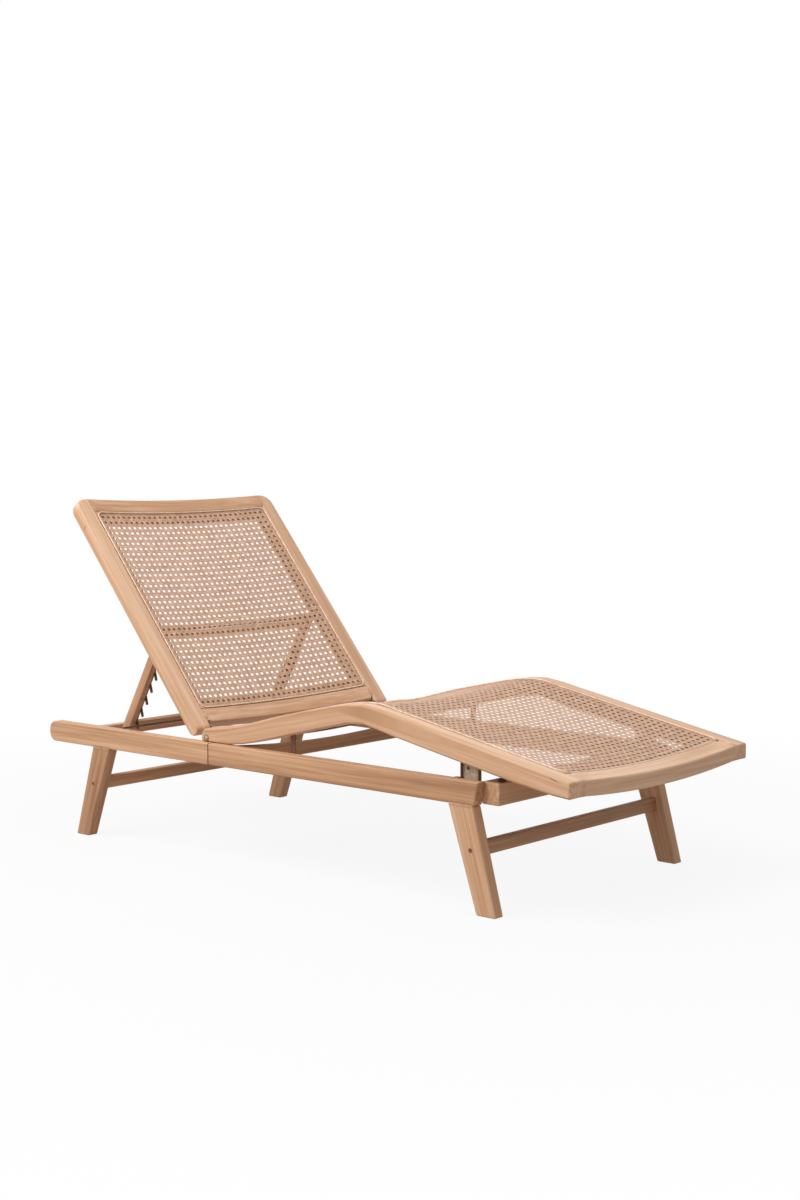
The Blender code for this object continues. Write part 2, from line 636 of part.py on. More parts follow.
def make_prop(hinge):
    """The prop turns on a wooden dowel between the stiles; its legs carry the hooked racks."""
    reach = STILE_INNER + DOWEL_SOCKET - GAP
    neck = DOWEL_NECK_RADIUS
    shoulder = reach - (STILE_INNER - GAP)
    far = 2 * reach - shoulder
    profile = ((0, 0), (0, neck), (shoulder, neck), (shoulder, DOWEL_RADIUS), (far, DOWEL_RADIUS),
               (far, neck), (2 * reach, neck), (2 * reach, 0))
    dowel = turned("prop_dowel", profile, -reach, WOOD, hinge, steps=20)
    moved(dowel, (0, PIVOT_UP_STILE, -PIVOT_BEHIND))
    pivot = bpy.data.objects.new("prop_pivot_axis", None)
    parts.objects.link(pivot)
    pivot.parent = hinge
    pivot.location = (0, PIVOT_UP_STILE, -PIVOT_BEHIND)
    pivot.rotation_euler = (PROP_RELATIVE, 0, 0)
    middle = (PROP_LEG_REAR - PROP_LEG_FRONT) / 2
    radius = (PROP_LEG_REAR + PROP_LEG_FRONT) / 2
    outline = arc((0, middle), radius, 90, 270, 8)
    outline += [(PROP_LEG_LENGTH, -PROP_LEG_FRONT), (PROP_LEG_LENGTH + PROP_FOOT_SLANT, PROP_LEG_REAR)]
    leg_inner = PROP_LEG_OUTER - PROP_LEG_WIDTH
    for side in (-1, 1):
        hand = side_name(side)
        leg = side_board("prop_leg_" + hand, outline, leg_inner, PROP_LEG_OUTER, side, WOOD, pivot, 0.002)
        bore(leg, "prop leg hole " + hand, (0, 0, 0), DOWEL_RADIUS + GAP, leg_inner - 0.002,
             PROP_LEG_OUTER + 0.002, side, pivot)
        side_board("prop_rack_" + hand, rack_outline(), leg_inner - GAP - RACK_THICKNESS,
                   leg_inner - GAP, side, DARK_STEEL, pivot, 0)
    front = CROSSBAR_INSET - PROP_LEG_FRONT
    start = PROP_LEG_LENGTH - CROSSBAR_FROM_END - CROSSBAR_HEIGHT
    inner = leg_inner - RACK_THICKNESS - 2 * GAP
    block("prop_crossbar", (-inner, start, front), (inner, start + CROSSBAR_HEIGHT, front + CROSSBAR_DEPTH),
          parent=pivot, rounding=0.002)
    inner = leg_inner - GAP
    block("prop_head_rail", (-inner, HEAD_RAIL_START, -HEAD_RAIL_DEPTH),
          (inner, HEAD_RAIL_START + HEAD_RAIL_HEIGHT, 0.0), parent=pivot, rounding=0.002)


def rack_outline():
    """The rack's plate with its hooks, as (along the leg, back from the leg's front) points."""
    along = Vector((math.cos(HOOK_ANGLE), math.sin(HOOK_ANGLE)))
    square = Vector((-along.y, along.x))
    half = HOOK_WIDTH / 2
    points = [(RACK_FIRST - 0.030, RACK_SPINE[1]), (RACK_FIRST - 0.030, RACK_SPINE[0])]
    last = RACK_FIRST + RACK_PITCH * (RACK_HOOKS - 1)
    points += [(last + 0.012, RACK_SPINE[0]), (last + 0.012, RACK_SPINE[1])]
    for index in reversed(range(RACK_HOOKS)):
        root = Vector((RACK_FIRST + RACK_PITCH * index, HOOK_ROOT))
        tip = root + along * (HOOK_LENGTH - half)
        low = root - square * half
        high = root + square * half
        low += along * ((RACK_SPINE[1] - low.y) / along.y)
        high += along * ((RACK_SPINE[1] - high.y) / along.y)
        points.append(tuple(low))
        points += [tuple(tip + (along * math.cos(t) + square * math.sin(t)) * half)
                   for t in (-1.5708, -0.7854, 0.0, 0.7854, 1.5708)]
        points.append(tuple(high))
    return [(s, -n) for s, n in points]


make_base()
make_seat()
make_backrest()
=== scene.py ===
# %% [markdown]
# # A cane lounger, dressed around its frame
# The solids of the lounger are loaded first. Nothing here moves them: the wood gets smooth copies with
# grain, the cane panels get their weave, and the steel gets its finish.

# %% Load the frame
import json
import math

import bmesh
import bpy
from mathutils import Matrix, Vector


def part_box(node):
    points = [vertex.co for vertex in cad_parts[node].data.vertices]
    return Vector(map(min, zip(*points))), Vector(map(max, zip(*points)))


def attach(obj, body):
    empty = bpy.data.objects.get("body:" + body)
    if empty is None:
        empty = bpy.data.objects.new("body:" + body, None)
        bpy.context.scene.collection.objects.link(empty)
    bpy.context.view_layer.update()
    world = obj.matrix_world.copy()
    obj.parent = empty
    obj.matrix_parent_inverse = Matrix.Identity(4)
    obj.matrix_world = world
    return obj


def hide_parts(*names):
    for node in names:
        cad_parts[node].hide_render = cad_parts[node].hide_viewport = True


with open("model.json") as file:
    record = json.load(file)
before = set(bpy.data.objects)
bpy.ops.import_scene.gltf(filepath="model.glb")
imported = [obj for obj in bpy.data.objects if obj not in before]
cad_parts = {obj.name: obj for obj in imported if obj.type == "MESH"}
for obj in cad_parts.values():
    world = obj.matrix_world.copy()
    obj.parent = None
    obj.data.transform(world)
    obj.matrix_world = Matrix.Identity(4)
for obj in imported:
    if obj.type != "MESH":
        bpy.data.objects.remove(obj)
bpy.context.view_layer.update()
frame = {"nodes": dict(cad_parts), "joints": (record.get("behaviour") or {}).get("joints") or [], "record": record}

# %% [markdown]
# Every object made here goes through one function, which puts it in the scene. A second one skins a row of
# closed rings of points, which is how most of the small pieces are drawn. Edges sharper than a set angle
# stay sharp when a piece is shaded smooth.

# %% Making objects and skins
SHARP_PIECE = math.radians(35)
SHARP_BOARD = math.radians(32)
SHARP_STRAND = math.radians(50)


def placed(name, data):
    """An object of some data, put in the scene."""
    made = bpy.data.objects.new(name, data)
    bpy.context.scene.collection.objects.link(made)
    return made


def skin(bm, rings, around=False, capped=True):
    """Joins each ring to the next, and the last to the first where the row goes around."""
    following = rings[1:] + rings[:1] if around else rings[1:]
    for first, second in zip(rings, following):
        for k in range(len(first)):
            after = (k + 1) % len(first)
            bm.faces.new((first[k], first[after], second[after], second[k]))
    if capped:
        bm.faces.new(rings[0])
        bm.faces.new(rings[-1])


def finished(name, bm, body, material, replaced=None, smooth=True):
    """Makes an object of a bmesh, gives it its finish and sets it on its body."""
    bmesh.ops.recalc_face_normals(bm, faces=bm.faces)
    mesh = bpy.data.meshes.new(name)
    bm.to_mesh(mesh)
    bm.free()
    mesh.materials.append(material)
    if smooth:
        mesh.shade_smooth()
        mesh.set_sharp_from_angle(angle=SHARP_PIECE)
    piece = placed(name, mesh)
    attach(piece, body)
    if replaced:
        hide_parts(replaced)


def quarter(first, steps):
    """The angles of a quarter turn from a first one in degrees, in equal steps."""
    return [math.radians(first + 90 * k / steps) for k in range(steps + 1)]


# %% [markdown]
# The lounger stands on the floor with its foot end to -Y. The camera looks at its right front corner
# from a little above the backrest, as a catalogue photographer would place it.

# %% Camera
CAMERA_PLACE = (-3.56, -3.15, 1.02)
CAMERA_YAW = math.radians(49.14)
CAMERA_PITCH = math.radians(4.42)
LENS = 55.41

camera = bpy.data.cameras.new("camera")
camera.lens = LENS
camera.sensor_width = 36.0
camera.clip_end = 60.0
camera_object = placed("camera", camera)
camera_object.location = CAMERA_PLACE
camera_object.rotation_euler = (math.pi / 2 - CAMERA_PITCH, 0.0, -CAMERA_YAW)
bpy.context.scene.camera = camera_object
print("camera at", CAMERA_PLACE, "lens", LENS)

# %% [markdown]
# Shader maths reads best as plain expressions. The Socket class wraps a node's output, and adding or
# multiplying two of them adds the Math node. One method, node, makes every other kind of node.


# %% A small language for shader nodes
class Socket:
    """A node output that can be used in arithmetic."""

    def __init__(self, tree, output):
        self.tree = tree
        self.output = output

    def math(self, operation, *others):
        made = self.tree.nodes.new("ShaderNodeMath")
        made.operation = operation
        for slot, value in zip(made.inputs, (self, *others)):
            if isinstance(value, Socket):
                self.tree.links.new(value.output, slot)
            else:
                slot.default_value = value
        return Socket(self.tree, made.outputs[0])

    def __add__(self, other):
        return self.math("ADD", other)

    def __mul__(self, other):
        return self.math("MULTIPLY", other)

    def __sub__(self, other):
        return self.math("SUBTRACT", other)

    def __rsub__(self, other):
        return self.math("MULTIPLY", -1.0).math("ADD", other)

    __radd__ = __add__
    __rmul__ = __mul__


class Finish:
    """A material with a Principled shader, built node by node."""

    def __init__(self, name, **constants):
        self.material = bpy.data.materials.new(name)
        self.material.use_nodes = True
        self.tree = self.material.node_tree
        self.shader = self.tree.nodes["Principled BSDF"]
        for key, value in constants.items():
            self.slot(key).default_value = value

    def slot(self, key):
        """The shader's input with a name, whatever its capitals."""
        wanted = key.replace("_", " ")
        return next(slot for slot in self.shader.inputs if slot.name.lower() == wanted)

    def node(self, kind, settings=None, output=0, **values):
        """Adds a node: its settings first, then the values or links of its inputs."""
        made = self.tree.nodes.new(kind)
        for key, value in (settings or {}).items():
            if key == "stops":
                ramp = made.color_ramp
                while len(ramp.elements) < len(value):
                    ramp.elements.new(0.5)
                for element, (place, colour) in zip(ramp.elements, value):
                    element.position = place
                    element.color = (*colour, 1.0)
            else:
                setattr(made, key, value)
        for key, value in values.items():
            slot = made.inputs[int(key[1:])] if key[1:].isdigit() else made.inputs[key.replace("_", " ")]
            if isinstance(value, Socket):
                self.tree.links.new(value.output, slot)
            else:
                slot.default_value = value
        return Socket(self.tree, made.outputs[output])

    def feed(self, **sockets):
        for key, value in sockets.items():
            self.tree.links.new(value.output, self.slot(key))
        return self.material


def linear(colour):
    """A colour written as 0 to 255, as linear light."""
    parts = [part / 255 for part in colour]
    return tuple(part / 12.92 if part <= 0.04045 else ((part + 0.055) / 1.055) ** 2.4 for part in parts)


# %% [markdown]
# The wood is a pale, close-grained timber under a clear matt oil. Its grain runs along each board, so the
# pattern is one recipe whose coordinates are turned to the board: long soft bands for the growth rings,
# fine streaks for the pores, and a slow drift of tone from board to board.

# %% Wood
WOOD_TONES = ((148, 107, 77), (198, 155, 120), (228, 193, 163))
RING_SIZE = 26.0
STREAK_SIZE = 420.0


def wood(name, along, seed, tone=0.0, bent=False):
    """Oiled timber whose grain runs along a direction, or along a bent board's own grain attribute."""
    finish = Finish(name, roughness=0.52, specular_ior_level=0.3)
    turn = Vector((1, 0, 0)).rotation_difference(Vector(along).normalized()).inverted().to_euler()
    if bent:
        place = finish.node("ShaderNodeAttribute", {"attribute_name": "grain"}, output=1)
    else:
        place = finish.node("ShaderNodeTexCoord", output=3)
    turned = finish.node("ShaderNodeMapping", {"vector_type": "POINT"}, Vector=place, Rotation=tuple(turn),
                         Location=(seed * 0.37, seed * 0.11, seed * 0.23))
    rings = finish.node("ShaderNodeMapping", Vector=turned, Scale=(0.9, RING_SIZE, RING_SIZE))
    drift = finish.node("ShaderNodeTexNoise", Vector=rings, Scale=1.0, Detail=3.0, Roughness=0.55,
                        Distortion=0.6)
    fine = finish.node("ShaderNodeMapping", Vector=turned, Scale=(7.0, STREAK_SIZE, STREAK_SIZE))
    streak = finish.node("ShaderNodeTexNoise", Vector=fine, Scale=1.0, Detail=2.0, Roughness=0.6)
    wide = finish.node("ShaderNodeMapping", Vector=turned, Scale=(2.0, 110.0, 110.0))
    band = finish.node("ShaderNodeTexNoise", Vector=wide, Scale=1.0, Detail=2.0, Roughness=0.5)
    # tone shifts the whole board lighter or darker: a board's own tone for most callers, painted shade or a
    # painted sheen for some.
    tone_value = (drift - 0.5) * 0.85 + (band - 0.5) * 0.6 + (streak - 0.5) * 0.5 + (0.56 + tone)
    stops = [(0.12, linear(WOOD_TONES[0])), (0.52, linear(WOOD_TONES[1])), (0.92, linear(WOOD_TONES[2]))]
    colour = finish.node("ShaderNodeValToRGB", {"stops": stops}, Fac=tone_value)
    height = streak * 0.6 + band * 0.4
    bump = finish.node("ShaderNodeBump", Height=height, Strength=0.12, Distance=0.0006)
    rough = (streak - 0.5) * 0.16 + 0.5
    return finish.feed(base_color=colour, roughness=rough, normal=bump)


# %% [markdown]
# A node's mesh is loose triangles. Its copy is merged into one skin, its shallow edges are shaded smooth
# and its sharp ones kept, which turns the facets of a round edge into a soft one.

# %% Smooth copies of the wooden pieces
BACK_TILT = math.radians(50.5)
ALONG_RAIL = (0, 1, 0)
ACROSS = (1, 0, 0)
UP_BACK = (0, math.cos(BACK_TILT), math.sin(BACK_TILT))
BODY_OF = {node: body for body, nodes in frame["record"]["behaviour"]["bodies"].items() for node in nodes}


def leg_direction(node):
    """The way a leg leans, from the middle of its top to the middle of its foot."""
    points = [v.co for v in frame["nodes"][node].data.vertices]
    low, high = min(p.z for p in points), max(p.z for p in points)
    top = [p.y for p in points if p.z > high - 0.01]
    foot = [p.y for p in points if p.z < low + 0.01]
    return (0, (min(top) + max(top) - min(foot) - max(foot)) / 2, high - low)


def smooth_copy(node, name):
    """One skin of a node's triangles, shaded smooth but for its sharp edges."""
    bm = bmesh.new()
    bm.from_mesh(frame["nodes"][node].data)
    bmesh.ops.remove_doubles(bm, verts=bm.verts, dist=0.00002)
    bmesh.ops.dissolve_limit(bm, angle_limit=math.radians(0.6), verts=bm.verts, edges=bm.edges)
    mesh = bpy.data.meshes.new(name)
    bm.to_mesh(mesh)
    bm.free()
    mesh.shade_smooth()
    mesh.set_sharp_from_angle(angle=SHARP_BOARD)
    piece = placed(name, mesh)
    weighted = piece.modifiers.new("even shading", "WEIGHTED_NORMAL")
    weighted.keep_sharp = True
    return piece


def dress(node, material):
    """Puts a smooth copy with a finish in a node's place."""
    piece = smooth_copy(node, node + "_skin")
    piece.data.materials.clear()
    piece.data.materials.append(material)
    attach(piece, BODY_OF[node])
    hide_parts(node)
    return piece


wooden = {}
for node in frame["nodes"]:
    if node.startswith(("side_rail", "rail_tenon")):
        wooden[node] = ALONG_RAIL
    elif node.startswith("leg_"):
        wooden[node] = leg_direction(node)
    elif node.startswith(("stretcher", "cross_rail", "seat_front", "seat_rear", "back_top", "back_bottom",
                          "prop_crossbar", "prop_head", "prop_dowel")):
        wooden[node] = ACROSS
    elif node.startswith("back_stile"):
        wooden[node] = UP_BACK
    elif node.startswith("prop_leg"):
        wooden[node] = leg_direction(node)
# Each board's tone is shifted. The rear legs and the front stretcher are darkened as painted shade, and the seat
# front rail is lightened as a painted sheen on its top. The other shifts are the boards' own tones.
TONE_AND_SHADE_SHIFTS = {"side_rail_front": -0.16, "side_rail_rear": -0.05, "leg_rear": -0.14, "stretcher_front": -0.18,
               "back_bottom_rail": 0.08, "back_top_rail": -0.08, "back_stile": 0.10, "prop_leg": 0.02,
               "seat_front_rail": 0.16, "stretcher_rear": -0.06}
for seed, (node, along) in enumerate(sorted(wooden.items())):
    tone = sum(shift for start, shift in TONE_AND_SHADE_SHIFTS.items() if node.startswith(start))
    dress(node, wood(node + "_wood", along, seed, tone))
print("wooden pieces", len(wooden))

# %% [markdown]
# The steel parts keep the shapes of their solids. The hinge straps and pins are brushed stainless steel, the
# heads of the hinge bolts are weathered, and the hooked racks and the rod have a dark brown coating. Each
# finish drifts between two colours. The finishes of the brackets, washers and pads, which are made further
# down, stand here too.


# %% Steel and rubber
def mottled(name, low, high, scale, detail, rough=None, stretch=None, **constants):
    """A finish that drifts between two colours, and its roughness with them: (change, least)."""
    finish = Finish(name, **constants)
    place = finish.node("ShaderNodeTexCoord", output=3)
    if stretch:
        place = finish.node("ShaderNodeMapping", Vector=place, Scale=stretch)
    drift = finish.node("ShaderNodeTexNoise", Vector=place, Scale=scale, Detail=detail)
    stops = [(0.3, linear(low)), (0.7, linear(high))]
    sockets = {"base_color": finish.node("ShaderNodeValToRGB", {"stops": stops}, Fac=drift)}
    if rough:
        change, least = rough
        sockets["roughness"] = drift * change + least
    return finish.feed(**sockets)


stainless = mottled("brushed_stainless", (150, 143, 134), (206, 200, 190), 1.0, 3.0, rough=(0.2, 0.2),
                    stretch=(60, 60, 1600), metallic=1.0)
weathered = mottled("weathered_steel", (150, 134, 114), (196, 180, 158), 150.0, 4.0, rough=(0.3, 0.3),
                    metallic=0.2)
pad_rubber = mottled("dark_rubber", (52, 38, 30), (80, 62, 50), 900.0, 2.0, rough=(0.2, 0.65))
coated = mottled("dark_steel", (92, 62, 46), (130, 94, 72), 220.0, 3.0, rough=(0.25, 0.4),
                 metallic=0.25, specular_ior_level=0.3)
bronzed = mottled("bronzed_steel", (118, 84, 62), (156, 116, 88), 220.0, 3.0, rough=(0.25, 0.4),
                  metallic=0.25, specular_ior_level=0.3)
for node, piece in frame["nodes"].items():
    finish = None
    if node.startswith("hinge_bolt"):
        finish = weathered
    elif node.startswith("hinge_"):
        finish = stainless
    elif node.startswith(("prop_rack", "catch_rod")):
        finish = coated
    if finish:
        piece.data.materials.clear()
        piece.data.materials.append(finish)

# %% [markdown]
# The cane panels follow two dished surfaces. The backrest's is a flat board dished across its width, laid
# back at the rest angle. The seat's follows the knee curve of the stiles, written here as stations of
# place, height and slope, and is dished the same way. The stiles' grain bends with the same curve, because
# they are laminated.

# %% The surfaces the cane lies on
SCOOP_BACK = 0.014
SCOOP_SEAT = 0.016
RECESS = 0.0022
BACK_START = 0.0498
BACK_LENGTH = 0.6467
HALF_BACK = 0.0165
SEAT_LINE = ((-0.870, 0.3257, 0.1935), (-0.820, 0.3354, 0.1935), (-0.682, 0.3620, 0.1935),
             (-0.355, 0.4256, 0.1850), (-0.265, 0.4400, 0.0000), (-0.125, 0.4190, -0.2200),
             (0.021, 0.3850, -0.2550), (0.171, 0.3475, -0.1550), (0.280, 0.3325, -0.0900))
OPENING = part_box("seat_stile_left")[0].x
net_low, net_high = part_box("seat_net")
hinge = Vector(next(j["pos_m"] for j in frame["joints"] if j["name"] == "backrest_hinge"))
up_back = Vector(UP_BACK)
out_back = Vector((0, -math.sin(BACK_TILT), math.cos(BACK_TILT)))


def across(x):
    """How much of the dish is reached at x."""
    return 1.0 - min(abs(x) / OPENING, 1.0) ** 2


def seat_top(y):
    """The height of the seat's top edge, a smooth line through the stations with their slopes."""
    index = 0
    while index < len(SEAT_LINE) - 2 and SEAT_LINE[index + 1][0] < y:
        index += 1
    (y0, z0, slope0), (y1, z1, slope1) = SEAT_LINE[index:index + 2]
    span = y1 - y0
    t = (y - y0) / span
    return (z0 * (2 * t ** 3 - 3 * t * t + 1) + z1 * (3 * t * t - 2 * t ** 3)
            + span * (slope0 * (t ** 3 - 2 * t * t + t) + slope1 * (t ** 3 - t * t)))


for seed, node in enumerate(("seat_stile_right", "seat_stile_left")):
    stile = dress(node, wood(node + "_wood", ALONG_RAIL, 50 + seed, 0.10, bent=True))
    grain = stile.data.attributes.new("grain", "FLOAT_VECTOR", "POINT")
    for item, vert in zip(grain.data, stile.data.vertices):
        item.vector = (vert.co.x, vert.co.y, vert.co.z - seat_top(vert.co.y))


def seat_surface(x, along):
    y = net_low.y + along
    slope = (seat_top(y + 0.001) - seat_top(y - 0.001)) / 0.002
    lean = 2 * SCOOP_SEAT * x / OPENING ** 2
    normal = Vector((-lean, -slope, 1)).normalized()
    return Vector((x, y, seat_top(y) - SCOOP_SEAT * across(x))), normal


def back_surface(x, along):
    lean = 2 * SCOOP_BACK * x / OPENING ** 2
    place = hinge + up_back * (BACK_START + along) + out_back * (HALF_BACK - SCOOP_BACK * across(x))
    return Vector((x, place.y, place.z)), (out_back - Vector((lean, 0, 0))).normalized()


seat_length = net_high.y - net_low.y
print("seat panel", round(seat_length, 3), "back panel", BACK_LENGTH, "half opening", round(OPENING, 4))

# %% [markdown]
# Woven cane repeats one small cell: two strands one way, two the other, and diagonals that clip the
# corners and leave an eight-sided hole. The cell is drawn once, with every strand rising and dipping
# where it crosses the others. Geometry Nodes then set one cell on each point of a grid.

# %% One cell of the weave
STRAND_WIDTH = 0.0045
DIAGONAL_WIDTH = 0.0040
STRAND_THICK = 0.0006
PAIR_HALF = 0.0030
RISE = 0.00026


def strand(bm, points, width):
    """A flat, slightly domed strand through points, open at its ends."""
    rings = []
    for index, point in enumerate(points):
        ahead = points[min(index + 1, len(points) - 1)]
        behind = points[max(index - 1, 0)]
        run = Vector((ahead[0] - behind[0], ahead[1] - behind[1], 0)).normalized()
        side = Vector((-run.y, run.x, 0))
        section = ((-0.5, 0.0), (-0.26, 0.55), (0.26, 0.55), (0.5, 0.0), (0.0, -0.5))
        rings.append([bm.verts.new(Vector(point) + side * (a * width) + Vector((0, 0, b * STRAND_THICK)))
                      for a, b in section])
    skin(bm, rings, capped=False)


def cell(name, wide, long):
    """One hole's worth of strands, from edge to edge of the cell, the crossing in its middle."""
    bm = bmesh.new()
    w, h = wide / 2, long / 2
    for sign in (-1, 1):
        y, x = sign * PAIR_HALF, sign * PAIR_HALF
        strand(bm, [(-w, y, 0), (0, y, sign * RISE), (w, y, 0)], STRAND_WIDTH)
        strand(bm, [(x, -h, 0), (x, 0, -sign * RISE), (x, h, 0)], STRAND_WIDTH)
    high, low = 2.2 * RISE, -2.2 * RISE
    for sx, sy in ((1, 1), (-1, -1), (1, -1), (-1, 1)):
        rising = high if sx * sy < 0 else low
        strand(bm, [(sx * w, 0, rising), (sx * w / 2, sy * h / 2, 0), (0, sy * h, -rising)], DIAGONAL_WIDTH)
    bmesh.ops.recalc_face_normals(bm, faces=bm.faces)
    mesh = bpy.data.meshes.new(name)
    bm.to_mesh(mesh)
    bm.free()
    mesh.shade_smooth()
    mesh.set_sharp_from_angle(angle=SHARP_STRAND)
    return bpy.data.objects.new(name, mesh)


# %% [markdown]
# The tree is a grid of points, an instance of the cell on each, and a merge that joins the strands from
# cell to cell. Its inputs are named, so a wider or denser panel is a matter of four numbers.


# %% The weave tree
JOIN_WITHIN = 0.00008


def weave_tree(name, material):
    tree = bpy.data.node_groups.new(name, "GeometryNodeTree")
    for label, kind in (("Cell", "NodeSocketObject"), ("Columns", "NodeSocketInt"), ("Rows", "NodeSocketInt"),
                        ("Width", "NodeSocketFloat"), ("Length", "NodeSocketFloat")):
        tree.interface.new_socket(label, in_out="INPUT", socket_type=kind)
    tree.interface.new_socket("Geometry", in_out="OUTPUT", socket_type="NodeSocketGeometry")
    given = tree.nodes.new("NodeGroupInput")
    result = tree.nodes.new("NodeGroupOutput")
    grid = tree.nodes.new("GeometryNodeMeshGrid")
    info = tree.nodes.new("GeometryNodeObjectInfo")
    info.transform_space = "ORIGINAL"
    instances = tree.nodes.new("GeometryNodeInstanceOnPoints")
    realize = tree.nodes.new("GeometryNodeRealizeInstances")
    merge = tree.nodes.new("GeometryNodeMergeByDistance")
    merge.inputs["Distance"].default_value = JOIN_WITHIN
    finish = tree.nodes.new("GeometryNodeSetMaterial")
    finish.inputs["Material"].default_value = material
    link = tree.links.new
    link(given.outputs["Cell"], info.inputs["Object"])
    link(given.outputs["Width"], grid.inputs["Size X"])
    link(given.outputs["Length"], grid.inputs["Size Y"])
    link(given.outputs["Columns"], grid.inputs["Vertices X"])
    link(given.outputs["Rows"], grid.inputs["Vertices Y"])
    link(grid.outputs["Mesh"], instances.inputs["Points"])
    link(info.outputs["Geometry"], instances.inputs["Instance"])
    link(instances.outputs["Instances"], realize.inputs["Geometry"])
    link(realize.outputs["Geometry"], merge.inputs["Geometry"])
    link(merge.outputs["Geometry"], finish.inputs["Geometry"])
    link(finish.outputs["Geometry"], result.inputs["Geometry"])
    return tree


def cane_finish():
    """Peeled cane: pale, faintly glossy, with tone that drifts over the panel."""
    finish = Finish("natural_cane", specular_ior_level=0.4)
    place = finish.node("ShaderNodeTexCoord", output=3)
    drift = finish.node("ShaderNodeTexNoise", Vector=place, Scale=55.0, Detail=3.0, Roughness=0.6)
    fleck = finish.node("ShaderNodeTexNoise", Vector=place, Scale=900.0, Detail=2.0, Roughness=0.6)
    stops = [(0.2, linear((166, 127, 100))), (0.5, linear((196, 157, 129))), (0.85, linear((223, 189, 162)))]
    tone = (drift - 0.5) * 0.9 + (fleck - 0.5) * 0.5 + 0.5
    colour = finish.node("ShaderNodeValToRGB", {"stops": stops}, Fac=tone)
    bump = finish.node("ShaderNodeBump", Height=fleck, Strength=0.15, Distance=0.0003)
    return finish.feed(base_color=colour, roughness=fleck * 0.2 + 0.4, normal=bump)


cane = cane_finish()
weave = weave_tree("cane_weave", cane)


# %% [markdown]
# The flat webbing comes out of the tree as a plain mesh. Each of its points is then laid on the panel's
# surface, with the strand's own height kept along the surface's normal.


# %% Lay the webbing on a surface
BEAD_TURN = 0.018
WEAVE_CLEAR = 0.0005


def outside_corner(x, along, length):
    """Whether a point lies beyond the rounded corners of the opening."""
    past_x = abs(x) - (OPENING - BEAD_TURN)
    past_y = max(BEAD_TURN - along, along - (length - BEAD_TURN))
    return past_x > 0 and past_y > 0 and math.hypot(past_x, past_y) > BEAD_TURN


def webbing(name, surface, length, columns, rows, first, last):
    """Rows first to last of a panel of webbing, laid on its surface."""
    wide, long = 2 * OPENING / columns, length / rows
    tile = cell(name + "_cell", wide, long)
    holder = placed(name, bpy.data.meshes.new(name))
    modifier = holder.modifiers.new("weave", "NODES")
    modifier.node_group = weave
    count = last - first
    sizes = {"Cell": tile, "Columns": columns, "Rows": count, "Width": wide * (columns - 1),
             "Length": long * (count - 1)}
    for item in weave.interface.items_tree:
        if item.in_out == "INPUT":
            modifier[item.identifier] = sizes[item.name]
    holder.update_tag()
    bpy.context.view_layer.update()
    evaluated = holder.evaluated_get(bpy.context.evaluated_depsgraph_get())
    mesh = bpy.data.meshes.new_from_object(evaluated)
    middle = long * (first + last) / 2
    bm = bmesh.new()
    bm.from_mesh(mesh)
    beyond = [v for v in bm.verts if outside_corner(v.co.x, middle + v.co.y, length)]
    bmesh.ops.delete(bm, geom=beyond, context="VERTS")
    bm.to_mesh(mesh)
    bm.free()
    for vert in mesh.vertices:
        x = max(-OPENING + WEAVE_CLEAR, min(OPENING - WEAVE_CLEAR, vert.co.x))
        along = max(0.0, min(length, middle + vert.co.y))
        place, normal = surface(x, along)
        vert.co = place + normal * (vert.co.z - RECESS)
    bpy.data.objects.remove(holder)
    bpy.data.objects.remove(tile)
    piece = placed(name, mesh)
    print(name, "triangles", sum(len(p.vertices) - 2 for p in mesh.polygons))
    return piece


COLUMNS = 33
BACK_ROWS = 36
SEAT_ROWS = 59
back_web = webbing("back_webbing", back_surface, BACK_LENGTH, COLUMNS, BACK_ROWS, 0, BACK_ROWS)
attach(back_web, "backrest")
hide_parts("back_net")
for part, first, last in (("foot", 0, 30), ("hip", 30, SEAT_ROWS)):
    seat_web = webbing("seat_webbing_" + part, seat_surface, seat_length, COLUMNS, SEAT_ROWS, first, last)
    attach(seat_web, "base")
    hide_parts("seat_net")

# %% [markdown]
# A thin round spline of split cane is pressed in along the edge of each opening and hides the webbing's
# cut ends. It is a curve with a round bevel, one closed loop.

# %% Beads
BEAD_RADIUS = 0.0021
BEAD_CLEAR = 0.0002
BEAD_INSET = 0.0020
BEAD_STEP = 0.012
spline_cane = mottled("split_cane_spline", (214, 178, 150), (240, 212, 188), 90.0, 2.0,
                      specular_ior_level=0.4, roughness=0.42)


